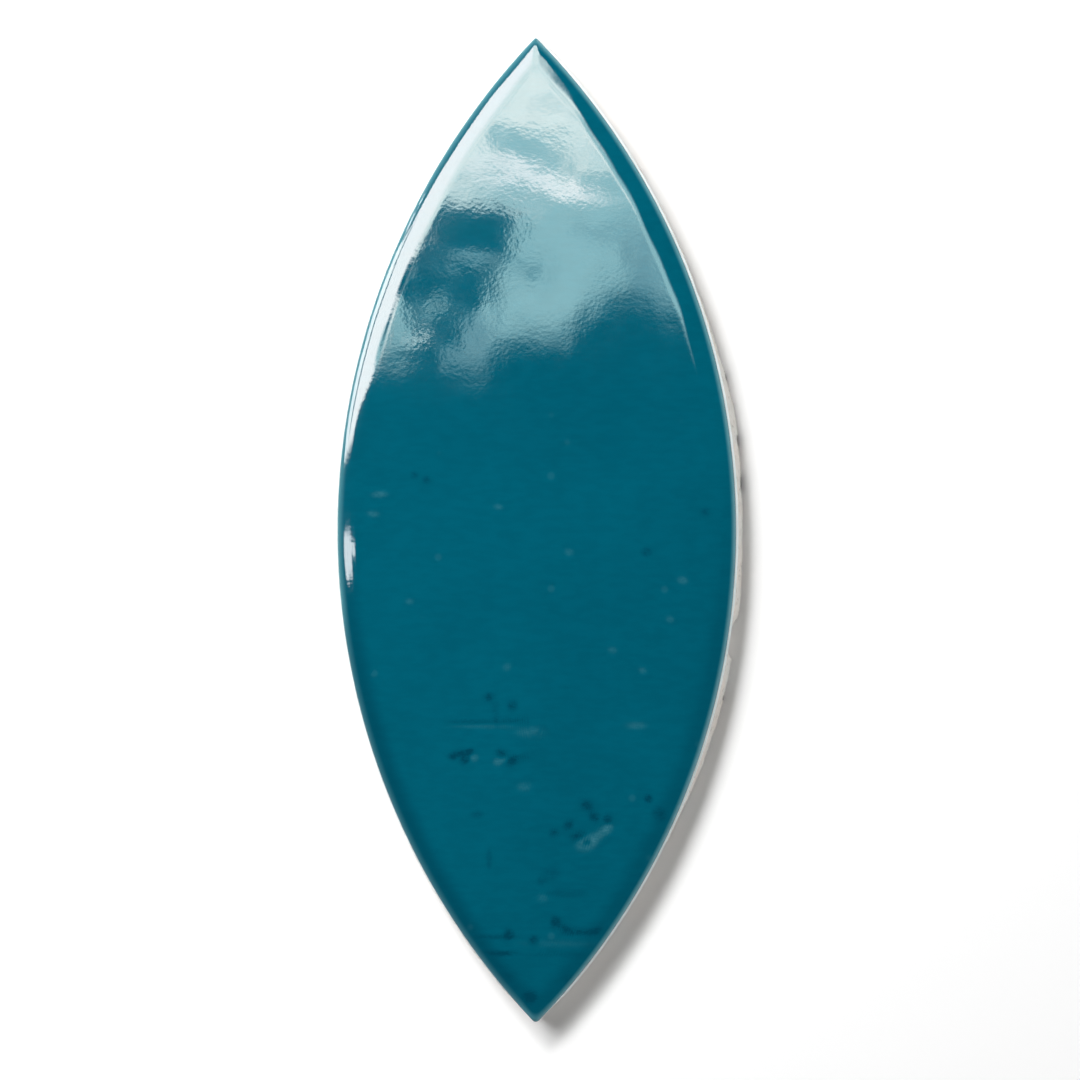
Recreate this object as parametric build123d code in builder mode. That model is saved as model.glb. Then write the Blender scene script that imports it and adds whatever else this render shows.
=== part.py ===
from build123d import *
from math import asin, hypot, tan
import os

# A petal tile: a pointed oval of porcelain, glazed on its face and fired as one piece.
# It lies on its back. X runs across the tile, Y from point to point and Z up, and the
# origin is the middle of the back. All sizes are in millimetres.

# Plan: two equal arcs that meet in the points
point_to_point = 200.9
width_across = 82.3
tip_radius = 0.8

# Section of the edge
thickness = 9.0
cushion_width = 4.8
cushion_drop = 0.55
arris_radius = 0.9
foot_setback = 0.4
heel_radius = 0.6

# Keyed back: square pockets between ribs, inside a plain rim
pocket_size = 12.5
pocket_corner_radius = 1.5
pocket_depth = 0.8
pocket_draft = 20.0
rib_width = 2.5
rim_width = 4.0

arc_radius = (point_to_point**2 + width_across**2) / (4 * width_across)
arc_centre = arc_radius - width_across / 2
tip_half_angle = asin(point_to_point / 2 / arc_radius)


def is_inside_rim(x, y):
    """Whether a point of the back lies inside the plain rim, which is measured from the foot."""
    farthest = hypot(abs(x) + arc_centre, y)
    return farthest <= arc_radius - foot_setback - rim_width


def pocket_centres():
    """Middles of the whole pockets. Two ribs cross at the middle of the back."""
    pitch = pocket_size + rib_width
    columns = int(width_across / 2 / pitch)
    rows = int(point_to_point / 2 / pitch)
    centres = []
    for column in range(columns):
        for row in range(rows):
            x = (column + 0.5) * pitch
            y = (row + 0.5) * pitch
            if is_inside_rim(x + pocket_size / 2, y + pocket_size / 2):
                centres += [(x, y), (-x, y), (x, -y), (-x, -y)]
    return centres


with BuildPart() as petal_tile:
    # Each long side is the rim of a large half coin, turned about a centre beyond the other
    # side. What the two share is the petal, with the same cushioned edge all the way round.
    # The wall leans in towards its foot, so that neighbours meet only at their glazed edges.
    for side in (-1, 1):
        coin_centre = (side * arc_centre, 0, 0)
        with BuildSketch(Plane(coin_centre, (0, side, 0), (side, 0, 0))) as coin_section:
            with BuildLine():
                Polyline(
                    (arc_radius - cushion_width, thickness),
                    (0, thickness),
                    (0, 0),
                    (arc_radius - foot_setback, 0),
                    (arc_radius, thickness - cushion_drop),
                )
                TangentArc(
                    (arc_radius - cushion_width, thickness),
                    (arc_radius, thickness - cushion_drop),
                    tangent=(1, 0),
                )
            make_face()
            heel = coin_section.vertices().group_by(Axis.Y)[0].sort_by(Axis.X)[-1]
            fillet(heel, heel_radius)
            arris = coin_section.vertices().sort_by(Axis.X)[-1]
            fillet(arris, arris_radius)
        revolve(
            axis=Axis(coin_centre, (0, 0, 1)),
            revolution_arc=180,
            mode=Mode.ADD if side < 0 else Mode.INTERSECT,
        )

    # The two points are rounded off in plan.
    with BuildSketch() as rounded_points:
        with BuildLine():
            half_length = point_to_point / 2
            half_breadth = half_length * tan(tip_half_angle)
            Polyline(
                (0, half_length),
                (half_breadth, 0),
                (0, -half_length),
                (-half_breadth, 0),
                close=True,
            )
        make_face()
        lowest, *_, highest = rounded_points.vertices().sort_by(Axis.Y)
        fillet([lowest, highest], tip_radius)
    extrude(amount=thickness, mode=Mode.INTERSECT)

    with BuildSketch() as pockets:
        with Locations(pocket_centres()):
            RectangleRounded(pocket_size, pocket_size, pocket_corner_radius)
    extrude(amount=pocket_depth, taper=pocket_draft, mode=Mode.SUBTRACT)

os.makedirs("parts", exist_ok=True)
petal_tile.part.label = "petal_tile"
export_step(petal_tile.part, "parts/petal_tile.step")
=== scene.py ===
import math

import bpy
import numpy as np
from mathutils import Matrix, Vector
from mathutils.geometry import delaunay_2d_cdt


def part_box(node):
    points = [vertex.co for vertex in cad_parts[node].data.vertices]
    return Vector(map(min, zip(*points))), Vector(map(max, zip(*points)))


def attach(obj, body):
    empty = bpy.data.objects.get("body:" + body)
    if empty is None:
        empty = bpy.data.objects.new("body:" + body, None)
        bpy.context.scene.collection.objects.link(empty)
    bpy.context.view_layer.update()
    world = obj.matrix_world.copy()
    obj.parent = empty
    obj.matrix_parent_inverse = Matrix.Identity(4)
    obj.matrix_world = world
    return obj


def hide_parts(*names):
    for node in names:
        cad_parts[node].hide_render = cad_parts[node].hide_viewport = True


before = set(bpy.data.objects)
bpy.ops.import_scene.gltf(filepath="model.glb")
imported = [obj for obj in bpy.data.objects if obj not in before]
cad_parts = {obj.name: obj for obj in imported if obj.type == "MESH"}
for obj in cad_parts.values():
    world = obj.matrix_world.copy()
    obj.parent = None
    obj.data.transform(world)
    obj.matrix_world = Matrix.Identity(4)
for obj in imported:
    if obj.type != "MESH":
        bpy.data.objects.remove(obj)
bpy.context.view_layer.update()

# The tile lies on its back at the origin: X across, Y from point to point, Z up.
# Shapes are worked out in millimetres and written to the mesh in metres.
MM = 0.001

# Plan of the tile: two equal arcs that meet in rounded points. The thickness is read from the
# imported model's own box.
LOW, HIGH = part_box("petal_tile")
THICKNESS = (HIGH.z - LOW.z) / MM
POINT_TO_POINT = 200.9
WIDTH_ACROSS = 82.3
TOP_TIP_RADIUS = 0.45
BOTTOM_TIP_RADIUS = 0.9
ARC_RADIUS = (POINT_TO_POINT**2 + WIDTH_ACROSS**2) / (4 * WIDTH_ACROSS)
ARC_CENTRE = ARC_RADIUS - WIDTH_ACROSS / 2

# Section of the edge
CUSHION_WIDTH = 4.8
CUSHION_DROP = 0.55
ARRIS_RADIUS = 0.9
FOOT_SETBACK = 0.4
HEEL_RADIUS = 0.6

# Keyed back
POCKET_SIZE = 12.5
POCKET_CORNER_RADIUS = 1.5
POCKET_DEPTH = 0.8
POCKET_DRAFT = 20.0
RIB_WIDTH = 2.5
RIM_WIDTH = 4.0

# The camera looks down on the face from a little to the right
PICTURE_ACROSS = 219.7
CAMERA_TILT = math.radians(9.5)
CAMERA_DISTANCE = 1200.0
CAMERA_AIM = (1.1, -1.93, THICKNESS)
SENSOR_WIDTH = 36.0
NEAREST_SEEN = 0.05
FARTHEST_SEEN = 100.0


def make_camera():
    data = bpy.data.cameras.new("overhead_camera")
    data.sensor_width = SENSOR_WIDTH
    data.lens = SENSOR_WIDTH * CAMERA_DISTANCE / PICTURE_ACROSS
    data.clip_start = NEAREST_SEEN
    data.clip_end = FARTHEST_SEEN
    camera = bpy.data.objects.new("overhead_camera", data)
    away = Vector((math.sin(CAMERA_TILT), 0.0, math.cos(CAMERA_TILT)))
    camera.location = (Vector(CAMERA_AIM) + away * CAMERA_DISTANCE) * MM
    camera.rotation_euler = (0.0, CAMERA_TILT, 0.0)
    bpy.context.collection.objects.link(camera)
    bpy.context.scene.camera = camera


# Outline

SIDE_STEPS = 400
TIP_STEPS = 8
# A point is rounded by at most this share of the half width
WIDEST_ROUNDING = 0.6


def half_outline(inset, lower_radius, upper_radius):
    """One side and the point above it, counterclockwise, with the outward directions."""
    radius = ARC_RADIUS - inset
    lower_end, upper_end = (
        math.acos(ARC_CENTRE / (radius - rounding)) for rounding in (lower_radius, upper_radius)
    )
    side = np.linspace(-lower_end, upper_end, SIDE_STEPS + 1)
    tip = np.linspace(upper_end, math.pi - upper_end, TIP_STEPS + 1)[1:-1]
    ways = np.concatenate([side, tip])
    out = np.stack([np.cos(ways), np.sin(ways)], axis=1)
    middle = np.zeros_like(out)
    middle[: len(side), 0] = -ARC_CENTRE
    middle[len(side) :, 1] = (radius - upper_radius) * math.sin(upper_end)
    reach = np.full(len(ways), radius)
    reach[len(side) :] = upper_radius
    return middle + out * reach[:, None], out


def outline(inset, rounding=0.0):
    """The petal moved in by inset, its points rounder by this much, with outward directions."""
    widest = WIDEST_ROUNDING * (WIDTH_ACROSS / 2 - inset)
    tips = TOP_TIP_RADIUS, BOTTOM_TIP_RADIUS
    top, bottom = (min(radius + rounding, widest) for radius in tips)
    right, right_out = half_outline(inset, bottom, top)
    left, left_out = half_outline(inset, top, bottom)
    return np.concatenate([right, -left]), np.concatenate([right_out, -left_out])


# Relief of the glazed face

# How far the cushion's border wanders, from where up the tile and over what length that grows,
# and over what breadth it drops from the whole on the right to its share on the left
CUSHION_WANDER = 0.2
WANDER_START = 30.0
WANDER_GROWTH = 15.0
WANDER_TURNOVER = 3.0
WANDER_ON_LEFT = 0.25
# The rim keeps clear of it for this far in, and then for a while has less of it
RIM_CLEARANCE = 1.2
CLEARANCE_GROWTH = 1.5


def face_height(inset):
    """Height of the face above the floor at a distance in from the wall."""
    crown = (CUSHION_WIDTH**2 + CUSHION_DROP**2) / (2 * CUSHION_DROP)
    arris_height = (
        THICKNESS
        - crown
        + math.sqrt((crown - ARRIS_RADIUS) ** 2 - (CUSHION_WIDTH - ARRIS_RADIUS) ** 2)
    )
    towards = (CUSHION_WIDTH - ARRIS_RADIUS) / (crown - ARRIS_RADIUS)
    arris_end = ARRIS_RADIUS - ARRIS_RADIUS * towards
    if inset < arris_end:
        return arris_height + math.sqrt(ARRIS_RADIUS**2 - (ARRIS_RADIUS - inset) ** 2)
    if inset < CUSHION_WIDTH:
        return THICKNESS - crown + math.sqrt(crown**2 - (CUSHION_WIDTH - inset) ** 2)
    return THICKNESS


def cushion_push(plan, inset):
    """How far the cushion wanders in or out, most along the upper part of the right side."""
    x, y = plan[:, 0], plan[:, 1]
    upper = np.clip((y - WANDER_START) / WANDER_GROWTH, 0.0, 1.0)
    upper_right = upper * np.clip(x / WANDER_TURNOVER, WANDER_ON_LEFT, 1.0)
    clear_of_rim = min(1.0, max(0.0, (inset - RIM_CLEARANCE) / CLEARANCE_GROWTH))
    wander = waves(x, y, count=6, shortest=9.0, longest=26.0, seed=31)
    return CUSHION_WANDER * wander * upper_right * clear_of_rim


def waves(x, y, count, shortest, longest, seed):
    """A smooth seeded surface made of plane waves of these lengths in mm, mostly -1 to 1."""
    draw = np.random.RandomState(seed)
    total = np.zeros_like(x)
    for _ in range(count):
        way = draw.uniform(0, 2 * math.pi)
        length = draw.uniform(shortest, longest)
        phase = draw.uniform(0, 2 * math.pi)
        along = (x * math.cos(way) + y * math.sin(way)) / length
        total += np.sin(2 * math.pi * along + phase)
    return total / math.sqrt(count)


# Marks in the glaze: x, y, half length, half width, turn in degrees, depth in microns, tone.
# A tone above 0 is pooled, darker glaze, and one below 0 is thin and paler.
MARKS = [
    (-15.2, -45.5, 2.4, 0.7, 8, 4, 0.9),
    (-14.4, -46.8, 1.1, 0.8, 20, 4, 0.8),
    (-17.0, -46.3, 1.0, 0.7, 0, 4, 0.5),
    (-12.6, -46.3, 0.9, 0.7, 0, -2, -0.6),
    (-13.4, -45.0, 0.8, 0.6, 30, 3, 0.7),
    (-6.9, -45.4, 1.2, 0.7, -20, 4, 0.8),
    (-4.7, -46.9, 1.3, 0.9, 20, 4, 1.0),
    (-7.6, -47.1, 0.9, 0.7, 0, -2, -0.6),
    (-6.1, -46.7, 0.8, 0.6, 0, -2, -0.5),
    (-2.3, -46.2, 2.2, 0.5, 8, 2, 0.35),
    (-8.0, -37.3, 0.8, 3.0, 4, 2, 0.25),
    (-13.6, -38.9, 4.6, 0.5, 0, 2, 0.4),
    (-4.4, -38.7, 4.6, 0.5, 1, 2, 0.45),
    (-9.8, -39.9, 6.5, 0.4, 0, -2, -0.3),
    (-1.0, -41.1, 2.8, 0.7, 0, -2, -0.45),
    (20.9, -39.6, 2.0, 0.6, 0, -2, -0.5),
    (-9.4, -33.9, 1.1, 0.9, 0, 3, 0.7),
    (-4.6, -35.7, 1.1, 0.9, 0, 3, 0.7),
    (10.8, -55.9, 1.3, 1.0, -20, 5, 0.9),
    (12.3, -58.2, 1.2, 0.9, -20, 5, 0.9),
    (15.0, -58.7, 1.0, 0.9, 0, 5, 0.9),
    (6.9, -59.9, 1.2, 0.8, 30, 5, 0.8),
    (4.0, -61.5, 1.1, 0.8, 0, 4, 0.7),
    (9.0, -62.0, 1.8, 0.8, 15, 5, 0.8),
    (10.8, -63.4, 2.0, 1.3, 20, -3, -1.1),
    (10.8, -63.4, 1.1, 0.6, 20, 3, 1.5),
    (13.6, -61.6, 2.4, 0.8, 40, -3, -0.7),
    (15.1, -60.4, 1.0, 0.9, 40, -3, -0.6),
    (-11.9, -57.9, 1.4, 0.8, 0, 2, 0.4),
    (-2.2, -52.2, 1.4, 0.7, 0, -2, -0.4),
    (23.4, -54.4, 0.9, 0.8, 0, 4, 0.9),
    (25.7, -57.5, 1.4, 1.7, 30, 4, 0.6),
    (3.6, -69.6, 1.9, 1.5, 0, 3, 0.35),
    (1.4, -71.4, 1.0, 0.8, 0, 3, 0.45),
    (-9.4, -67.0, 0.6, 2.2, 0, 3, 0.4),
    (6.2, -73.8, 5.0, 0.7, 0, 2, 0.35),
    (1.7, -74.6, 1.2, 0.8, 0, -2, -0.35),
    (4.3, -79.6, 1.1, 1.1, 0, 4, 0.9),
    (6.2, -80.9, 1.6, 0.6, -30, 4, 0.8),
    (9.6, -81.6, 4.0, 0.6, 0, 4, 0.8),
    (12.6, -81.2, 1.3, 0.7, 20, 4, 0.7),
    (-5.3, -82.2, 1.1, 1.1, 0, 4, 0.7),
    (-0.2, -83.4, 1.0, 0.8, 0, 4, 0.9),
    (-8.0, -82.8, 4.6, 0.5, 0, 2, 0.5),
    (-7.0, -86.1, 3.4, 0.55, 0, 3, 0.8),
    (5.0, -86.2, 8.0, 0.5, 0, 1, 0.25),
    (4.6, -84.0, 7.0, 0.6, 0, -1, -0.2),
    (-6.0, -91.0, 2.2, 1.3, 30, 2, 0.3),
    (7.2, -91.5, 1.9, 1.3, -30, 2, 0.35),
    (-1.0, -94.9, 1.6, 1.4, 0, 5, 0.9),
    (23.0, -4.4, 1.1, 0.9, 0, 3, 0.6),
    (35.0, 3.8, 0.9, 0.8, 0, 3, 0.5),
    (-24.9, 11.3, 0.9, 0.8, 0, 3, 0.5),
    (-22.4, 10.3, 0.8, 0.8, 0, 3, 0.5),
    (-32.1, 7.4, 1.6, 0.6, 5, -2, -0.55),
    (-33.5, 3.4, 1.2, 0.6, 0, -2, -0.5),
    (-7.5, 4.8, 0.9, 0.6, 0, -2, -0.4),
    (7.1, -4.4, 0.9, 0.7, 0, -2, -0.4),
    (30.4, -10.1, 1.0, 0.7, 0, -2, -0.5),
    (27.8, -18.0, 0.8, 0.6, 0, -2, -0.4),
    (-25.9, -14.5, 0.8, 0.6, 0, -2, -0.4),
    (-5.7, -27.8, 0.9, 0.6, 0, -2, -0.4),
    (16.0, -24.3, 0.9, 0.6, 0, -2, -0.4),
    (22.2, -28.4, 0.8, 0.6, 0, -2, -0.4),
]


# Above 1, a mark is flatter in its middle and falls off faster at its edge
MARK_FLATNESS = 1.5


def mark_layers(x, y):
    """Dent depth in mm and glaze tone at each point, from the list of marks."""
    dent = np.zeros_like(x)
    tone = np.zeros_like(x)
    for mark_x, mark_y, length, width, turn, microns, strength in MARKS:
        cos, sin = math.cos(math.radians(turn)), math.sin(math.radians(turn))
        along = ((x - mark_x) * cos + (y - mark_y) * sin) / length
        across = ((y - mark_y) * cos - (x - mark_x) * sin) / width
        shape = np.exp(-((along**2 + across**2) ** MARK_FLATNESS))
        dent += microns * MM * shape
        tone += strength * shape
    return dent, tone


# The fired face isn't dead flat: long and short swells, in mm
LONG_SWELL = 0.004
SHORT_SWELL = 0.0011


def relief(points, inset):
    """Height to add to the face, which fades out at the wall, and the glaze's tone."""
    x, y = points[:, 0], points[:, 1]
    dent, tone = mark_layers(x, y)
    fade = min(1.0, inset / CUSHION_WIDTH)
    swell = LONG_SWELL * waves(x, y, count=14, shortest=18.0, longest=45.0, seed=11)
    swell += SHORT_SWELL * waves(x, y, count=18, shortest=5.0, longest=12.0, seed=12)
    return (swell - dent) * fade, tone


# Wall of the tile

# White ledge under the glaze: how far it stands out, its lower and upper edge, and the height
# at which the glaze begins
LEDGE_OUT = 0.36
LEDGE_BOTTOM = 7.05
LEDGE_EDGE = 7.31
GLAZE_LIP = 7.5
# From the lower point up to here it has only its least share, and it grows to the whole over
# this length
LEDGE_DRAWN_IN = -97.5
LEDGE_GROWTH = 4.0
LEAST_LEDGE = 0.15
# The body begins this far behind the ledge
LEDGE_OVERHANG = 0.08

# How far the foot of the right wall stands out or in, by its place along the tile.
# It bulges a third of the way down, and a flake is missing below the middle.
RIGHT_FOOT = [
    (-100.0, -0.5),
    (-75.0, -0.75),
    (-63.0, -0.6),
    (-50.0, -0.15),
    (-42.6, 0.1),
    (-36.0, 0.35),
    (-30.0, 0.35),
    (-27.0, 0.15),
    (-26.0, 0.25),
    (-25.4, -0.6),
    (-24.5, -1.3),
    (-22.0, -1.45),
    (-20.2, -1.3),
    (-18.6, -0.1),
    (-17.4, 0.35),
    (-14.1, 0.4),
    (-8.0, 0.3),
    (-2.0, 0.05),
    (6.0, 0.1),
    (12.0, 0.25),
    (21.0, 0.45),
    (26.6, 0.5),
    (31.0, 0.25),
    (36.0, -0.1),
    (46.9, -0.5),
    (100.0, -0.6),
]

# How far the foot of the left wall stands out or in, how far it swings, and its limits
LEFT_FOOT = -0.35
LEFT_FOOT_SWING = 0.3
LEFT_FOOT_LIMITS = (-1.0, 0.4)

# Painted shade at the foot of the right wall, where a gap under it lies in shadow: place along the
# tile, half length, height
FOOT_GAP_SHADE = [(18.2, 1.1, 2.8), (9.6, 1.5, 2.3), (31.0, 0.6, 2.6), (-34.0, 0.5, 1.8)]
FOOT_GAP_SHADE_DARKNESS = 1.6


def painted_foot_gap_shade(plan, height):
    """How dark the foot of the wall is painted: shade where a gap under it lies in shadow."""
    x, y = plan[:, 0], plan[:, 1]
    gap_shade = np.zeros_like(x)
    for place, half_length, top in FOOT_GAP_SHADE:
        along = np.exp(-(((y - place) / half_length) ** 4))
        gap_shade += FOOT_GAP_SHADE_DARKNESS * along * max(0.0, 1.0 - height / top)
    return np.where(x > 0, gap_shade, 0.0)


def foot_offset(plan):
    """How far the foot of the wall stands out at each point of the plan."""
    x, y = plan[:, 0], plan[:, 1]
    places, offsets = zip(*RIGHT_FOOT)
    right = np.interp(y, places, offsets)
    swing = waves(x, y, count=8, shortest=20.0, longest=60.0, seed=21)
    left = np.clip(LEFT_FOOT + LEFT_FOOT_SWING * swing, *LEFT_FOOT_LIMITS)
    return np.where(x > 0, right, left)


def ledge_reach(plan):
    """How far the white ledge stands out: it draws in at the lower point."""
    return LEDGE_OUT * np.clip((plan[:, 1] - LEDGE_DRAWN_IN) / LEDGE_GROWTH, LEAST_LEDGE, 1.0)


# The wall may stand in by this much at a point, and by this much more for each mm from it
STAND_IN_AT_POINT = 0.2
STAND_IN_PER_MM = 0.33


def hold_at_points(plan, offset):
    """Hold back a wall that leans in near the two points, where its sides would cross."""
    from_point = np.abs(POINT_TO_POINT / 2 - np.abs(plan[:, 1]))
    return np.maximum(offset, -(STAND_IN_AT_POINT + STAND_IN_PER_MM * from_point))


# The lean is a little hollow. Its roughness has fine and coarse waves, and more at the heel.
LEAN_CURVE = 0.7
FINE_ROUGHNESS = 0.05
COARSE_ROUGHNESS = 0.09
HEEL_ROUGHNESS = 0.12


def wall_offset(plan, height):
    """How far the wall stands out at this height: a lean, roughened by the mould."""
    x, y = plan[:, 0], plan[:, 1]
    lean = (1.0 - height / LEDGE_BOTTOM) ** LEAN_CURVE
    fine = waves(x + 3.0 * height, y + height, count=12, shortest=2.0, longest=6.0, seed=22)
    coarse = waves(x, y + 0.5 * height, count=10, shortest=6.0, longest=20.0, seed=23)
    rough = FINE_ROUGHNESS * fine
    rough += COARSE_ROUGHNESS * coarse
    inner = ledge_reach(plan) - LEDGE_OVERHANG
    heel = 0.0
    if height < HEEL_RADIUS:
        heel = HEEL_RADIUS - math.sqrt(HEEL_RADIUS**2 - (HEEL_RADIUS - height) ** 2)
        rough += HEEL_ROUGHNESS * waves(x, y, count=12, shortest=1.6, longest=5.0, seed=24)
    offset = inner + foot_offset(plan) * lean + rough * min(1.0, 2.0 * lean) - heel
    return hold_at_points(plan, offset)


# Mesh

# Degrees round the arris at which it has a ring, and steps between rings farther in, in mm
ARRIS_TURNS = range(0, 80, 12)
ARRIS_TO_CUSHION = 0.2
CUSHION_STEP = 0.3
PAST_CUSHION = 1.0
FACE_STEP = 0.46
HALF_MIDDLE_GAP = 0.3


def ring_insets():
    """Distances in from the wall at which the face has a ring of points."""
    arris = [ARRIS_RADIUS * (1 - math.cos(math.radians(turn))) for turn in ARRIS_TURNS]
    cushion_start = arris[-1] + ARRIS_TO_CUSHION
    cushion = list(np.arange(cushion_start, CUSHION_WIDTH + PAST_CUSHION, CUSHION_STEP))
    inner_end = WIDTH_ACROSS / 2 - HALF_MIDDLE_GAP
    steps = round((inner_end - cushion[-1]) / FACE_STEP)
    inner = list(np.linspace(cushion[-1], inner_end, steps + 1))[1:]
    return arris + cushion + inner


GLAZE, SLIP, BODY = range(3)


class TileMesh:
    """Rings of points joined by quads, each band with its own material."""

    def __init__(self):
        self.points = []
        self.faces = []
        self.bands = []
        self.inset = []
        self.tone = []

    def ring(self, plan, height, inset=0.0, tone=0.0):
        """Add a ring of points and return the number of its first one."""
        start = len(self.points)
        height = np.broadcast_to(height, len(plan))
        self.points += [(x, y, z) for (x, y), z in zip(plan, height)]
        self.inset += [inset] * len(plan)
        self.tone += list(np.broadcast_to(tone, len(plan)))
        return start

    def face(self, corners, band):
        self.faces.append(tuple(corners))
        self.bands.append(band)

    def join(self, outer, inner, count, band):
        """Quads between two rings of as many points."""
        for i in range(count):
            j = (i + 1) % count
            self.face((outer + i, outer + j, inner + j, inner + i), band)


# Heights of the body's rings
BODY_HEIGHTS = (0.0, 0.2, HEEL_RADIUS, 1.5, 2.6, 3.8, 5.0, 6.0, 6.7)
# Share of the ledge's reach at each of its heights: its upper side is a chamfer that faces out
LEDGE_RINGS = ((1.0, LEDGE_BOTTOM), (0.55, LEDGE_EDGE), (0.0, GLAZE_LIP))


def build_wall(tile, plan, out):
    """Heel, rough body, white ledge and the glaze's lower lip. Returns the first and last ring."""
    rings = []
    for height in BODY_HEIGHTS:
        offset = wall_offset(plan, height)
        foot = plan + out * offset[:, None]
        # The wall's tone is the painted shade at its foot
        rings.append(tile.ring(foot, height, tone=painted_foot_gap_shade(plan, height)))
    for share, height in LEDGE_RINGS:
        ledge = share * ledge_reach(plan)
        rings.append(tile.ring(plan + out * ledge[:, None], height))
    for k in range(len(rings) - 1):
        band = BODY if k < len(BODY_HEIGHTS) else SLIP
        tile.join(rings[k], rings[k + 1], len(plan), band)
    return rings[0], rings[-1]


# The points of each ring are rounder than the outline's, by a share of its inset, up to a limit
ROUNDING_PER_INSET = 0.2
MOST_ROUNDING = 0.9


def build_face(tile, lip, count):
    """Rings of the glazed face from its lip inwards, closed along the middle."""
    last = lip
    for inset in ring_insets():
        rounding = min(ROUNDING_PER_INSET * inset, MOST_ROUNDING)
        plan, _ = outline(inset, rounding)
        added, tone = relief(plan, inset)
        section = [face_height(inset + push) for push in cushion_push(plan, inset)]
        ring = tile.ring(plan, np.array(section) + added, inset, tone)
        tile.join(last, ring, count, GLAZE)
        last = ring
    half = count // 2
    for i in range(SIDE_STEPS):
        across = last + half + SIDE_STEPS - i
        tile.face((last + i, last + i + 1, across - 1, across), GLAZE)
    tile.face([last + i for i in range(SIDE_STEPS, half + 1)], GLAZE)
    tile.face([last + i % count for i in range(half + SIDE_STEPS, count + 1)], GLAZE)


CORNER_STEPS = 4


def pocket_centres():
    """Middles of the whole pockets that fit inside the plain rim."""
    pitch = POCKET_SIZE + RIB_WIDTH
    centres = []
    for column in range(int(WIDTH_ACROSS / 2 / pitch)):
        for row in range(int(POINT_TO_POINT / 2 / pitch)):
            x, y = (column + 0.5) * pitch, (row + 0.5) * pitch
            farthest = math.hypot(x + POCKET_SIZE / 2 + ARC_CENTRE, y + POCKET_SIZE / 2)
            if farthest <= ARC_RADIUS - FOOT_SETBACK - RIM_WIDTH:
                centres += [(x, y), (-x, y), (x, -y), (-x, -y)]
    return centres


def pocket_loop(centre, narrower):
    """A square with round corners, narrower by this much on each side."""
    radius = POCKET_CORNER_RADIUS - narrower
    reach = POCKET_SIZE / 2 - POCKET_CORNER_RADIUS
    loop = []
    for quarter in range(4):
        for step in range(CORNER_STEPS + 1):
            way = (quarter + step / CORNER_STEPS) * math.pi / 2
            middle = (quarter + 0.5) * math.pi / 2
            x = math.copysign(reach, math.cos(middle)) + radius * math.cos(way)
            y = math.copysign(reach, math.sin(middle)) + radius * math.sin(way)
            loop.append((centre[0] + x, centre[1] + y))
    return np.array(loop)


# How the flat of the back is cut into triangles: only inside its outline, and when points merge
INSIDE_ONLY = 1
TOUCHING = 1e-6


def build_back(tile, foot, count):
    """The keyed back: pockets sunk between ribs, inside the foot of the wall."""
    numbers = list(range(foot, foot + count))
    flat = [Vector((x, y)) for x, y, _ in tile.points[foot : foot + count]]
    edges = [(i, (i + 1) % count) for i in range(count)]
    owners = [None] * count
    narrowing = POCKET_DEPTH * math.tan(math.radians(POCKET_DRAFT))
    for centre in pocket_centres():
        mouth_plan = pocket_loop(centre, 0.0)
        mouth = tile.ring(mouth_plan, 0.0)
        roof = tile.ring(pocket_loop(centre, narrowing), POCKET_DEPTH)
        corners = len(mouth_plan)
        for i in range(corners):
            j = (i + 1) % corners
            tile.face((mouth + j, mouth + i, roof + i, roof + j), BODY)
        tile.face([roof + i for i in reversed(range(corners))], BODY)
        numbers += range(mouth, mouth + corners)
        edges += [(len(flat) + i, len(flat) + (i + 1) % corners) for i in range(corners)]
        flat += [Vector(spot) for spot in mouth_plan]
        owners += [centre] * corners
    _, _, triangles, sources, _, _ = delaunay_2d_cdt(flat, edges, [], INSIDE_ONLY, TOUCHING)
    for triangle in triangles:
        corners = [sources[k][0] for k in reversed(triangle)]
        over_pocket = {owners[k] for k in corners}
        if len(over_pocket) > 1 or None in over_pocket:
            tile.face([numbers[k] for k in corners], BODY)


SHARP_ANGLE = math.radians(40)


def make_tile():
    tile = TileMesh()
    plan, out = outline(0.0)
    count = len(plan)
    foot, lip = build_wall(tile, plan, out)
    build_face(tile, lip, count)
    build_back(tile, foot, count)

    mesh = bpy.data.meshes.new("glazed_petal_tile")
    mesh.from_pydata([(x * MM, y * MM, z * MM) for x, y, z in tile.points], [], tile.faces)
    mesh.polygons.foreach_set("material_index", tile.bands)
    mesh.polygons.foreach_set("use_smooth", [True] * len(tile.faces))
    # The tone layer holds the glaze's tone on the face and the painted shade at the foot of the wall
    for name, values in (("inset", tile.inset), ("tone", tile.tone)):
        layer = mesh.attributes.new(name, "FLOAT", "POINT")
        layer.data.foreach_set("value", values)
    mesh.update()
    mesh.set_sharp_from_angle(angle=SHARP_ANGLE)
    piece = bpy.data.objects.new("glazed_petal_tile", mesh)
    bpy.context.collection.objects.link(piece)
    return piece


# Node helpers


def feed(tree, socket, value):
    """Link a socket to another, or give it a plain value."""
    if isinstance(value, bpy.types.NodeSocket):
        tree.links.new(value, socket)
    else:
        socket.default_value = value


def calculate(tree, operation, *values):
    node = tree.nodes.new("ShaderNodeMath")
    node.operation = operation
    for socket, value in zip(node.inputs, values):
        feed(tree, socket, value)
    return node.outputs[0]


def rise(tree, value, start, end, low=0.0, high=1.0):
    """A smooth step from low to high as the value goes from start to end."""
    node = tree.nodes.new("ShaderNodeMapRange")
    node.interpolation_type = "SMOOTHSTEP"
    for name, setting in zip(node.inputs.keys(), (value, start, end, low, high)):
        feed(tree, node.inputs[name], setting)
    return node.outputs["Result"]


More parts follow.
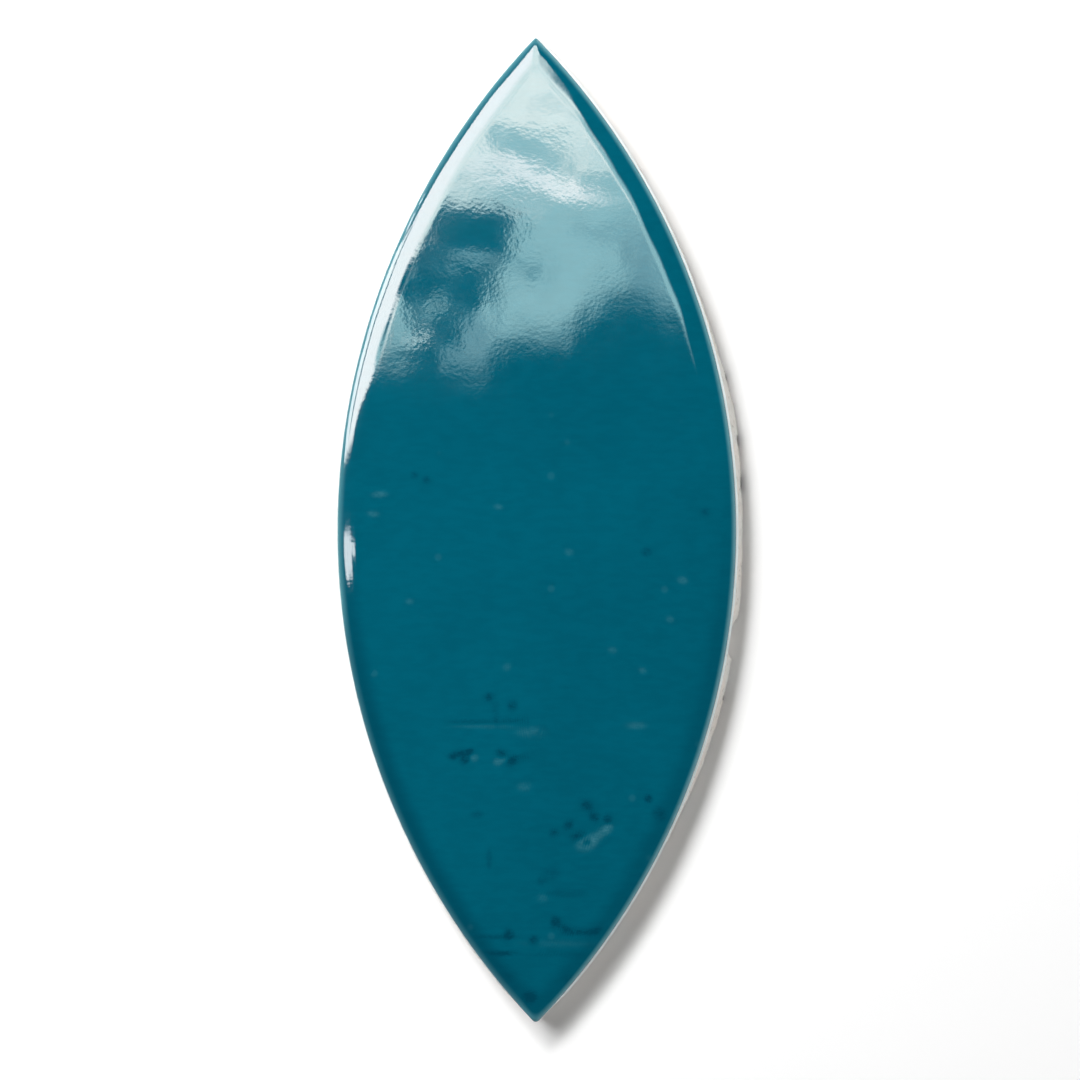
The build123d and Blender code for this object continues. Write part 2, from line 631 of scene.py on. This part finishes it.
def blend_colour(tree, factor, first, second):
    node = tree.nodes.new("ShaderNodeMix")
    node.data_type = "RGBA"
    node.clamp_result = False
    # A mix node's sockets for colours: the factor is 0, the two colours 6 and 7, the result 2
    for number, value in ((0, factor), (6, first), (7, second)):
        feed(tree, node.inputs[number], value)
    return node.outputs[2]


def cloud(tree, place, scale, detail=2.0, roughness=0.5):
    """Soft noise, about 0.3 to 0.7, in a scale of lumps a metre."""
    node = tree.nodes.new("ShaderNodeTexNoise")
    node.inputs["Scale"].default_value = scale
    node.inputs["Detail"].default_value = detail
    node.inputs["Roughness"].default_value = roughness
    tree.links.new(place, node.inputs["Vector"])
    return node.outputs["Fac"]


def surface_attribute(tree, name):
    node = tree.nodes.new("ShaderNodeAttribute")
    node.attribute_name = name
    return node.outputs["Fac"]


def stretch(tree, place, factors):
    node = tree.nodes.new("ShaderNodeVectorMath")
    node.operation = "MULTIPLY"
    tree.links.new(place, node.inputs[0])
    node.inputs[1].default_value = factors
    return node.outputs[0]


def object_place(tree):
    return tree.nodes.new("ShaderNodeTexCoord").outputs["Object"]


NUMBER = "NodeSocketFloat"
VECTOR = "NodeSocketVector"


def new_group(name, inputs, outputs):
    """A shader node group with number or vector inputs and number outputs."""
    group = bpy.data.node_groups.new(name, "ShaderNodeTree")
    for label, kind in inputs:
        group.interface.new_socket(label, in_out="INPUT", socket_type=kind)
    for label in outputs:
        group.interface.new_socket(label, in_out="OUTPUT", socket_type=NUMBER)
    given = group.nodes.new("NodeGroupInput").outputs
    result = group.nodes.new("NodeGroupOutput").inputs
    return group, given, result


def place_group(tree, group, **values):
    """Place a group with its own values, each named as its socket is."""
    node = tree.nodes.new("ShaderNodeGroup")
    node.node_tree = group
    for name, value in values.items():
        feed(tree, node.inputs[name.replace("_", " ").capitalize()], value)
    return node.outputs


# Share of the lumps a metre, and detail, of the fine and the coarse lumps of the grain
GRAIN_LAYERS = ((1.0, 1.0), (0.31, 0.0))
COARSE_GRAIN_HEIGHT = 0.8


def grain_group():
    """Fine lumps in two sizes, for the peel of the glaze and the tooth of the bare body."""
    given_names = [("Place", VECTOR), ("Lumps a metre", NUMBER)]
    group, given, result = new_group("fired_grain", given_names, ["Height"])
    layers = []
    for ratio, detail in GRAIN_LAYERS:
        node = group.nodes.new("ShaderNodeTexNoise")
        node.inputs["Detail"].default_value = detail
        group.links.new(given["Place"], node.inputs["Vector"])
        lumps = calculate(group, "MULTIPLY", given["Lumps a metre"], ratio)
        group.links.new(lumps, node.inputs["Scale"])
        layers.append(node.outputs["Fac"])
    coarse = calculate(group, "MULTIPLY", layers[1], COARSE_GRAIN_HEIGHT)
    group.links.new(calculate(group, "ADD", layers[0], coarse), result["Height"])
    return group


# A speck's edge, as shares of the space between specks: nothing beyond the first of them
# and all of it inside the second
SPECK_OUTSIDE = 0.34
SPECK_INSIDE = 0.12


def speck_group():
    """Small spots scattered by chance: iron specks, pinholes and dust fired into the surface."""
    given_names = [("Place", VECTOR), ("Specks a metre", NUMBER), ("Coverage", NUMBER)]
    group, given, result = new_group("kiln_specks", given_names, ["Mask"])
    cells = group.nodes.new("ShaderNodeTexVoronoi")
    group.links.new(given["Place"], cells.inputs["Vector"])
    group.links.new(given["Specks a metre"], cells.inputs["Scale"])
    chance = group.nodes.new("ShaderNodeSeparateColor")
    group.links.new(cells.outputs["Color"], chance.inputs[0])
    chosen = calculate(group, "LESS_THAN", chance.outputs[0], given["Coverage"])
    spot = rise(group, cells.outputs["Distance"], SPECK_OUTSIDE, SPECK_INSIDE)
    group.links.new(calculate(group, "MULTIPLY", chosen, spot), result["Mask"])
    return group


# Materials


def new_material(name):
    material = bpy.data.materials.new(name)
    material.use_nodes = True
    tree = material.node_tree
    return material, tree, tree.nodes["Principled BSDF"]


def add_bump(tree, shader, height, depth):
    """Bump of this depth in metres for a height of 1."""
    bump = tree.nodes.new("ShaderNodeBump")
    bump.inputs["Distance"].default_value = depth
    tree.links.new(height, bump.inputs["Height"])
    tree.links.new(bump.outputs["Normal"], shader.inputs["Normal"])


GLAZE_TEAL = (0.0004, 0.106, 0.161, 1)
GLAZE_DEEP = (0.0003, 0.087, 0.134, 1)
GLAZE_POOLED = (0.0003, 0.052, 0.088, 1)
GLAZE_THIN = (0.075, 0.265, 0.315, 1)
# Shares of the deeper colours in the clouds, the mottling and the darkening along the rim at the
# lower left
CLOUD_SHARE = 0.75
MOTTLE_SHARE = 0.55
LOWER_LEFT_RIM_SHARE = 0.6
# How strongly the marks darken or pale the glaze, and how pale its dust is
MARK_POOLING = 1.2
MARK_PALING = -0.36
DUST_SHARE = 0.08
# The thin glaze at the rim, which is also painted lighter as a highlight along the edge, begins this
# far in from the wall, in mm, on the right and on the lower left, and is thinnest from the last of
# them out
THIN_FROM_RIGHT = 1.05
THIN_FROM_LEFT = 1.7
THIN_TO = 0.2
GLAZE_HAZE = (0.027, 0.038)
PEEL_LUMPS = 1350.0
PEEL_DEPTH = 0.0000018


def glaze_material(grain, specks):
    """Glossy teal glaze: cloudy, pooled in marks, darker near the rim at the lower left, thin at the
    rim, where it is also painted lighter as a highlight.
    """
    material, tree, shader = new_material("teal_gloss_glaze")
    place = object_place(tree)
    inset = surface_attribute(tree, "inset")
    speckled = cloud(tree, stretch(tree, place, (1.0, 2.0, 1.0)), 1400.0)
    ragged = rise(tree, speckled, 0.34, 0.62, 0.7, 1.25)
    tone = calculate(tree, "MULTIPLY", surface_attribute(tree, "tone"), ragged)
    cloudy = rise(tree, cloud(tree, place, 38.0, 4.0, 0.55), 0.38, 0.66, 0.25, 0.75)
    streaky = cloud(tree, stretch(tree, place, (1.0, 3.0, 1.0)), 300.0, 3.0)
    mottled = calculate(tree, "MULTIPLY", rise(tree, streaky, 0.35, 0.65), MOTTLE_SHARE)
    clouds = calculate(tree, "MULTIPLY", calculate(tree, "ADD", cloudy, mottled), CLOUD_SHARE)
    colour = blend_colour(tree, clouds, GLAZE_TEAL, GLAZE_DEEP)

    split = tree.nodes.new("ShaderNodeSeparateXYZ")
    tree.links.new(place, split.inputs[0])
    # The glaze is darker near the rim towards the lower left
    lower = rise(tree, split.outputs["Y"], 0.01, -0.03)
    left = rise(tree, split.outputs["X"], 0.004, -0.008, 0.55, 1.0)
    lower_left = calculate(tree, "MULTIPLY", lower, left)
    near_rim = rise(tree, inset, 5.4, 2.0)
    lower_left_rim_darkening = calculate(tree, "MULTIPLY", lower_left, near_rim)
    lower_left_rim_darkening = calculate(tree, "MULTIPLY", lower_left_rim_darkening, LOWER_LEFT_RIM_SHARE)
    colour = blend_colour(tree, lower_left_rim_darkening, colour, GLAZE_POOLED)

    pooled = calculate(tree, "MULTIPLY", calculate(tree, "MAXIMUM", tone, 0.0), MARK_POOLING)
    colour = blend_colour(tree, calculate(tree, "MINIMUM", pooled, 1.0), colour, GLAZE_POOLED)
    pale = calculate(tree, "MULTIPLY", calculate(tree, "MINIMUM", tone, 0.0), MARK_PALING)
    dust = place_group(tree, specks, place=place, specks_a_metre=300.0, coverage=0.03)["Mask"]
    dust = calculate(tree, "MULTIPLY", dust, DUST_SHARE)
    colour = blend_colour(tree, calculate(tree, "MAXIMUM", pale, dust), colour, GLAZE_THIN)
    # Thin, paler glaze at the rim, painted lighter too as a highlight along the edge
    thin_from = rise(tree, split.outputs["X"], 0.004, -0.004, THIN_FROM_RIGHT, THIN_FROM_LEFT)
    thin = rise(tree, lower_left, 0.6, 1.0, 0.85, 0.40)
    thin = calculate(tree, "MULTIPLY", rise(tree, inset, thin_from, THIN_TO), thin)
    colour = blend_colour(tree, thin, colour, GLAZE_THIN)
    tree.links.new(colour, shader.inputs["Base Color"])

    haze = rise(tree, cloud(tree, place, 90.0, 3.0), 0.3, 0.7, *GLAZE_HAZE)
    tree.links.new(haze, shader.inputs["Roughness"])
    peel = place_group(tree, grain, place=place, lumps_a_metre=PEEL_LUMPS)["Height"]
    add_bump(tree, shader, peel, PEEL_DEPTH)
    return material


SLIP_WHITE = (0.86, 0.94, 0.94, 1)
SLIP_MILKY = (0.72, 0.83, 0.83, 1)
SLIP_SPOT = (0.3, 0.32, 0.3, 1)
SLIP_SPOT_SHARE = 0.45
SLIP_ROUGHNESS = (0.28, 0.42)
SLIP_TOOTH_DEPTH = 0.000008


def slip_material(grain, specks):
    """The white line where the glaze breaks over the edge."""
    material, tree, shader = new_material("white_slip_line")
    place = object_place(tree)
    milky = cloud(tree, place, 260.0, 3.0)
    colour = blend_colour(tree, milky, SLIP_WHITE, SLIP_MILKY)
    spots = place_group(tree, specks, place=place, specks_a_metre=520.0, coverage=0.05)["Mask"]
    spots = calculate(tree, "MULTIPLY", spots, SLIP_SPOT_SHARE)
    colour = blend_colour(tree, spots, colour, SLIP_SPOT)
    tree.links.new(colour, shader.inputs["Base Color"])
    tree.links.new(rise(tree, milky, 0.3, 0.7, *SLIP_ROUGHNESS), shader.inputs["Roughness"])
    tooth = place_group(tree, grain, place=place, lumps_a_metre=2600.0)["Height"]
    add_bump(tree, shader, tooth, SLIP_TOOTH_DEPTH)
    return material


BODY_GREY = (0.69, 0.69, 0.65, 1)
BODY_PINK = (0.73, 0.68, 0.62, 1)
BODY_SCUFF = (0.42, 0.41, 0.37, 1)
BODY_PIT = (0.10, 0.09, 0.08, 1)
# Colour of the painted shade at the foot of the wall
BODY_GAP_SHADE = (0.03, 0.03, 0.025, 1)
SCUFF_SHARE = 0.45
PIT_SHARE = 0.75
# Most of the painted shade at the foot that is let through
DARKEST_GAP_SHADE = 0.95
BODY_ROUGHNESS = (0.7, 0.9)
# A pit is this many times as deep as the tooth of the body is high
PIT_DEPTH = 2.5
BODY_TOOTH_DEPTH = 0.00005


def body_material(grain, specks):
    """Bare fired porcelain: pale, a little pink and grey in patches, with pits and iron specks, and
    painted shade at the foot.
    """
    material, tree, shader = new_material("fired_porcelain_body")
    place = object_place(tree)
    patches = rise(tree, cloud(tree, place, 170.0, 4.0, 0.6), 0.38, 0.64)
    colour = blend_colour(tree, patches, BODY_GREY, BODY_PINK)
    scuffs = rise(tree, cloud(tree, place, 620.0, 3.0, 0.7), 0.52, 0.68)
    colour = blend_colour(tree, calculate(tree, "MULTIPLY", scuffs, SCUFF_SHARE), colour, BODY_SCUFF)
    pits = place_group(tree, specks, place=place, specks_a_metre=900.0, coverage=0.15)["Mask"]
    colour = blend_colour(tree, calculate(tree, "MULTIPLY", pits, PIT_SHARE), colour, BODY_PIT)
    # Painted shade at the foot of the wall, read from the tone layer
    foot_gap_shade = calculate(tree, "MINIMUM", surface_attribute(tree, "tone"), DARKEST_GAP_SHADE)
    colour = blend_colour(tree, foot_gap_shade, colour, BODY_GAP_SHADE)
    tree.links.new(colour, shader.inputs["Base Color"])
    tree.links.new(rise(tree, scuffs, 0.0, 1.0, *BODY_ROUGHNESS), shader.inputs["Roughness"])
    tooth = place_group(tree, grain, place=place, lumps_a_metre=2200.0)["Height"]
    height = calculate(tree, "SUBTRACT", tooth, calculate(tree, "MULTIPLY", pits, PIT_DEPTH))
    add_bump(tree, shader, height, BODY_TOOTH_DEPTH)
    return material


# Light

LAMP_HEIGHT = 0.95
WHITE = (1, 1, 1, 1)
WHITE_CLOTH = (0.93, 0.90, 0.86, 1)
BRIGHT_CLOTH = (0.78, 0.81, 0.74, 1)
DULL_CLOTH = (0.52, 0.62, 0.58, 1)
COOL_CLOTH = (0.27, 0.41, 0.40, 1)
COOL_DULL_CLOTH = (0.15, 0.23, 0.235, 1)
COOL_DIM_CLOTH = (0.07, 0.11, 0.11, 1)
NO_CLOTH = (0.0, 0.0, 0.0, 1)


def area_lamp(name, centre, size, radiance, turn=0.0, lights_surfaces=False):
    """A flat lamp at the lamps' height that looks down, turned by this many degrees.

    It either lights the surfaces or shows in their gloss, so that each can be set by itself.
    """
    data = bpy.data.lights.new(name, "AREA")
    data.shape = "RECTANGLE"
    data.size, data.size_y = size
    data.energy = radiance * math.pi * size[0] * size[1]
    lamp = bpy.data.objects.new(name, data)
    lamp.location = (*centre, LAMP_HEIGHT)
    lamp.rotation_euler = (0.0, 0.0, math.radians(turn))
    lamp.visible_camera = False
    lamp.visible_diffuse = lights_surfaces
    lamp.visible_glossy = not lights_surfaces
    bpy.context.collection.objects.link(lamp)
    return lamp


# What the gloss shows of the softbox, in metres on the plane of the lamp, laid over each
# other: x, y, half length, half height, turn, lean, softness, light.
CLOTH = [
    (-0.450, 0.2300, 0.1950, 0.3000, 0, 0.0, 0.25, WHITE_CLOTH),
    (-0.070, 0.0400, 0.1460, 0.0835, 0, 0.0, 0.05, COOL_CLOTH),
    (-0.040, 0.1400, 0.0600, 0.0600, 0, 0.0, 0.3, COOL_CLOTH),
    (-0.1290, 0.1285, 0.0130, 0.0060, -10, 0.0, 0.5, COOL_CLOTH),
    (-0.1850, 0.1225, 0.0200, 0.0055, -4, 0.0, 0.6, DULL_CLOTH),
    (-0.1620, 0.1240, 0.0170, 0.0038, -17, 0.0, 0.7, COOL_CLOTH),
    (-0.1570, 0.1296, 0.0220, 0.0030, -14, 0.0, 0.6, WHITE_CLOTH),
    (-0.1605, 0.1404, 0.0165, 0.0065, -12, 0.0, 0.4, COOL_CLOTH),
    (-0.1835, 0.1080, 0.0180, 0.0142, 0, 0.10, 0.15, NO_CLOTH),
    (-0.1930, 0.0850, 0.0165, 0.0155, 0, 0.50, 0.22, NO_CLOTH),
    (-0.1905, 0.0640, 0.0100, 0.0125, 0, 0.0, 0.35, NO_CLOTH),
    (-0.2010, 0.0610, 0.0095, 0.0105, 0, 0.0, 0.25, NO_CLOTH),
    (-0.2480, 0.1110, 0.0520, 0.0110, -20, 0.0, 0.5, NO_CLOTH),
    (-0.2750, 0.0850, 0.0480, 0.0085, -16, 0.0, 0.7, COOL_CLOTH),
    (-0.2700, 0.0930, 0.0240, 0.0060, -16, 0.0, 0.8, NO_CLOTH),
    (-0.1820, 0.0995, 0.0085, 0.0026, -4, 0.0, 0.9, COOL_DULL_CLOTH),
    (-0.1952, 0.0833, 0.0055, 0.0017, 38, 0.0, 0.9, COOL_CLOTH),
    (-0.2090, 0.0790, 0.0030, 0.0110, 0, 0.0, 0.7, COOL_CLOTH),
    (-0.2045, 0.0705, 0.0070, 0.0014, 22, 0.0, 0.8, DULL_CLOTH),
    (-0.2110, 0.0660, 0.0034, 0.0060, 0, 0.0, 0.7, COOL_CLOTH),
    (-0.1793, 0.0692, 0.0050, 0.0130, 0, 0.0, 0.5, COOL_DULL_CLOTH),
    (-0.1865, 0.0645, 0.0060, 0.0045, 0, 0.0, 0.7, COOL_DULL_CLOTH),
    (-0.1700, 0.0640, 0.0050, 0.0060, 0, 0.0, 0.6, COOL_DIM_CLOTH),
    (-0.1580, 0.0963, 0.0048, 0.0024, 0, 0.0, 0.8, COOL_DIM_CLOTH),
    (-0.1345, 0.1085, 0.0080, 0.0014, -4, 0.0, 0.9, COOL_DULL_CLOTH),
    (-0.1160, 0.0930, 0.0085, 0.0180, 0, -0.15, 0.6, COOL_DULL_CLOTH),
    (-0.3550, 0.0440, 0.1300, 0.0360, -3, 0.0, 0.1, NO_CLOTH),
    (-0.5530, 0.1750, 0.0130, 0.0900, 0, 0.4, 0.1, NO_CLOTH),
    (-0.5986, 0.4316, 0.1600, 0.1400, -23.9, 0.124, 0.02, NO_CLOTH),
    (0.0762, 0.2464, 0.1000, 0.1000, 47.5, 0.0, 0.2, NO_CLOTH),
    (0.0500, 0.1300, 0.0980, 0.1100, 0, 0.0, 0.25, NO_CLOTH),
]

# At 2 a patch is an oval, and its corners grow squarer as this goes up
SQUARENESS = 4.0


def patch_group():
    """How much a point of the lamp lies inside one patch of its cloth."""
    numbers = ("X", "Y", "Half length", "Half height", "Turn", "Lean", "Softness")
    given_names = [("Place", VECTOR)] + [(name, NUMBER) for name in numbers]
    group, given, result = new_group("softbox_patch", given_names, ["Mask"])

    def work(operation, *values):
        return calculate(group, operation, *values)

    split = group.nodes.new("ShaderNodeSeparateXYZ")
    group.links.new(given["Place"], split.inputs[0])
    x = work("SUBTRACT", split.outputs["X"], given["X"])
    y = work("SUBTRACT", split.outputs["Y"], given["Y"])
    cos = work("COSINE", given["Turn"])
    sin = work("SINE", given["Turn"])
    along = work("ADD", work("MULTIPLY", x, cos), work("MULTIPLY", y, sin))
    across = work("SUBTRACT", work("MULTIPLY", y, cos), work("MULTIPLY", x, sin))
    along = work("SUBTRACT", along, work("MULTIPLY", across, given["Lean"]))
    along = work("ABSOLUTE", work("DIVIDE", along, given["Half length"]))
    across = work("ABSOLUTE", work("DIVIDE", across, given["Half height"]))
    total = work("ADD", work("POWER", along, SQUARENESS), work("POWER", across, SQUARENESS))
    reach = work("POWER", total, 1.0 / SQUARENESS)
    inner = work("SUBTRACT", 1.0, given["Softness"])
    outer = work("ADD", 1.0, given["Softness"])
    group.links.new(rise(group, reach, outer, inner), result["Mask"])
    return group


def inside_patch(tree, patch, place, x, y, length, height, softness, turn=0, lean=0.0):
    """Place the patch group for one patch, and return how much the place lies inside it."""
    node = place_group(
        tree,
        patch,
        place=place,
        x=x,
        y=y,
        half_length=length,
        half_height=height,
        turn=math.radians(turn),
        lean=lean,
        softness=softness,
    )
    return node["Mask"]


# The slack of the cloth: its folds are flatter than they are wide, and it sways by this much
# across, up and down, in metres
FOLD_SHAPE = (1.0, 2.6, 1.0)
FOLDS_A_METRE = 70.0
SWAY = (0.0055, 0.0038, 0.0)


def sway(tree, place):
    """The place bent a little, like slack cloth, and the place stretched to the folds' shape."""
    stretched = stretch(tree, place, FOLD_SHAPE)
    slack = tree.nodes.new("ShaderNodeTexNoise")
    slack.inputs["Scale"].default_value = FOLDS_A_METRE
    slack.inputs["Detail"].default_value = 4.0
    slack.inputs["Roughness"].default_value = 0.6
    tree.links.new(stretched, slack.inputs["Vector"])
    centred = tree.nodes.new("ShaderNodeVectorMath")
    centred.operation = "SUBTRACT"
    tree.links.new(slack.outputs["Color"], centred.inputs[0])
    centred.inputs[1].default_value = (0.5, 0.5, 0.5)
    bent = tree.nodes.new("ShaderNodeVectorMath")
    bent.operation = "MULTIPLY_ADD"
    tree.links.new(centred.outputs[0], bent.inputs[0])
    bent.inputs[1].default_value = SWAY
    tree.links.new(place, bent.inputs[2])
    return bent.outputs[0], stretched


# The softbox's lower border, as steps that are added up: from and to across, and the heights
# before and after. It is soft over twice this much up and down.
BORDER_STEPS = [
    (-0.183, -0.165, 0.060, 0.0735),
    (-0.150, -0.128, 0.0, 0.016),
    (-0.124, -0.112, 0.0, -0.007),
    (-0.200, -0.213, 0.0, 0.008),
]
BORDER_SOFTNESS = 0.010


def paint_softbox(lamp, patch):
    """Give the softbox its folds and flags, and a ragged lower border."""
    lamp.data.use_nodes = True
    tree = lamp.data.node_tree
    emission = tree.nodes["Emission"]
    place, stretched = sway(tree, tree.nodes.new("ShaderNodeNewGeometry").outputs["Position"])

    uneven = rise(tree, cloud(tree, stretched, 45.0, 3.0), 0.46, 0.66)
    colour = blend_colour(tree, uneven, BRIGHT_CLOTH, DULL_CLOTH)
    for x, y, length, height, turn, lean, softness, light in CLOTH:
        mask = inside_patch(tree, patch, place, x, y, length, height, softness, turn, lean)
        colour = blend_colour(tree, mask, colour, light)
    tree.links.new(colour, emission.inputs["Color"])

    split = tree.nodes.new("ShaderNodeSeparateXYZ")
    tree.links.new(place, split.inputs[0])
    border = 0.0
    for step in BORDER_STEPS:
        border = calculate(tree, "ADD", border, rise(tree, split.outputs["X"], *step))
    above = calculate(tree, "SUBTRACT", split.outputs["Y"], border)
    above = rise(tree, above, -BORDER_SOFTNESS, BORDER_SOFTNESS)
    weave = rise(tree, cloud(tree, stretched, 260.0, 3.0), 0.3, 0.7, 0.84, 1.12)
    tree.links.new(calculate(tree, "MULTIPLY", above, weave), emission.inputs["Strength"])


# Outline of the window's reflection, in metres on the plane of the lamp: x, y, half length and
# half height of its patches
WINDOW = [
    (-0.478, -0.0140, 0.086, 0.0155),
    (-0.405, -0.0070, 0.093, 0.0038),
    (-0.510, -0.0285, 0.045, 0.0085),
]
WINDOW_SOFTNESS = 0.2
BAR_SPACING = 0.055
LIGHT_BEHIND_BARS = 0.8


def shape_window(lamp, patch):
    """Give the window strip a bulge in the middle, a narrow end and faint bars."""
    lamp.data.use_nodes = True
    tree = lamp.data.node_tree
    place = tree.nodes.new("ShaderNodeNewGeometry").outputs["Position"]
    light = 0.0
    for x, y, length, height in WINDOW:
        inside = inside_patch(tree, patch, place, x, y, length, height, WINDOW_SOFTNESS)
        light = calculate(tree, "MAXIMUM", light, inside)
    split = tree.nodes.new("ShaderNodeSeparateXYZ")
    tree.links.new(place, split.inputs[0])
    turns = calculate(tree, "MULTIPLY", split.outputs["X"], 2 * math.pi / BAR_SPACING)
    bars = calculate(tree, "SINE", turns)
    light = calculate(tree, "MULTIPLY", light, rise(tree, bars, 0.2, 1.0, 1.0, LIGHT_BEHIND_BARS))
    tree.links.new(light, tree.nodes["Emission"].inputs["Strength"])


# Light of the studio high up and low down, and the way from X towards Y in which it is
# brightest low down
UPPER_LIGHT = 0.16
LOWER_LIGHT = 1.5
BRIGHT_SIDE = math.radians(5)


def make_world():
    """A pale studio: black overhead, so that the gloss stays deep, and bright low at the right."""
    world = bpy.data.worlds.new("pale_studio")
    bpy.context.scene.world = world
    world.use_nodes = True
    tree = world.node_tree
    place = tree.nodes.new("ShaderNodeTexCoord").outputs["Generated"]
    split = tree.nodes.new("ShaderNodeSeparateXYZ")
    tree.links.new(place, split.inputs[0])
    east = calculate(tree, "MULTIPLY", split.outputs["X"], math.cos(BRIGHT_SIDE))
    north = calculate(tree, "MULTIPLY", split.outputs["Y"], math.sin(BRIGHT_SIDE))
    side = calculate(tree, "ADD", east, north)
    upper = rise(tree, split.outputs["Z"], 0.90, 0.66, 0.0, UPPER_LIGHT)
    lower = rise(tree, split.outputs["Z"], 0.50, 0.25)
    horizon = rise(tree, side, -0.2, 0.9, 0.0, LOWER_LIGHT)
    strength = calculate(tree, "ADD", upper, calculate(tree, "MULTIPLY", lower, horizon))
    tree.links.new(strength, tree.nodes["Background"].inputs["Strength"])
    tree.nodes["Background"].inputs["Color"].default_value = WHITE


def make_light():
    """The lamps: name, middle in metres, size in metres, radiance and turn in degrees."""
    patch = patch_group()
    paint_softbox(area_lamp("softbox", (-0.30, 0.235), (0.68, 0.37), 22.0), patch)
    area_lamp("left_card", (-0.92, 0.333), (0.6, 0.15), 18.0, -20.0)
    area_lamp("lower_left_card", (-0.92, 0.190), (0.6, 0.125), 16.0, -12.5)
    area_lamp("upper_glint", (-1.0, 0.535), (0.9, 0.012), 20.0, -27.6)
    area_lamp("lower_glint", (-1.0, 0.490), (0.9, 0.025), 20.0, -25.5)
    shape_window(area_lamp("window_strip", (-0.43, -0.018), (0.32, 0.07), 16.0), patch)
    area_lamp("key_light", (-0.445, 0.45), (0.62, 0.60), 12.2, lights_surfaces=True)
    area_lamp("key_heart", (-0.195, 0.715), (0.28, 0.28), 26.5, lights_surfaces=True)
    make_world()


FLOOR_REACH = 8.0
FLOOR_LIFT = 0.02
FLOOR_ROUGHNESS = 0.9
PALE_FLOOR = (0.8, 0.8, 0.8, 1)


def make_floor():
    """A pale floor. Seen directly or in the gloss it is white, and it keeps the tile's shadow."""
    mesh = bpy.data.meshes.new("pale_floor")
    ways = ((-1, -1), (1, -1), (1, 1), (-1, 1))
    corners = [(x * FLOOR_REACH, y * FLOOR_REACH, 0) for x, y in ways]
    mesh.from_pydata(corners, [], [(0, 1, 2, 3)])
    floor = bpy.data.objects.new("pale_floor", mesh)
    bpy.context.collection.objects.link(floor)
    material, tree, shader = new_material("pale_floor")
    shader.inputs["Roughness"].default_value = FLOOR_ROUGHNESS
    shader.inputs["Specular IOR Level"].default_value = 0.0
    path = tree.nodes.new("ShaderNodeLightPath").outputs
    seen = calculate(tree, "MAXIMUM", path["Is Camera Ray"], path["Is Glossy Ray"])
    seen = calculate(tree, "MAXIMUM", seen, path["Is Transmission Ray"])
    tree.links.new(blend_colour(tree, seen, PALE_FLOOR, WHITE), shader.inputs["Base Color"])
    shader.inputs["Emission Color"].default_value = WHITE
    lift = calculate(tree, "MULTIPLY", seen, FLOOR_LIFT)
    tree.links.new(lift, shader.inputs["Emission Strength"])
    mesh.materials.append(material)


bpy.context.scene.view_settings.view_transform = "Standard"
make_camera()
make_light()
make_floor()
tile = make_tile()
grain = grain_group()
specks = speck_group()
for make_material in (glaze_material, slip_material, body_material):
    tile.data.materials.append(make_material(grain, specks))
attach(tile, "root")
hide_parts("petal_tile")
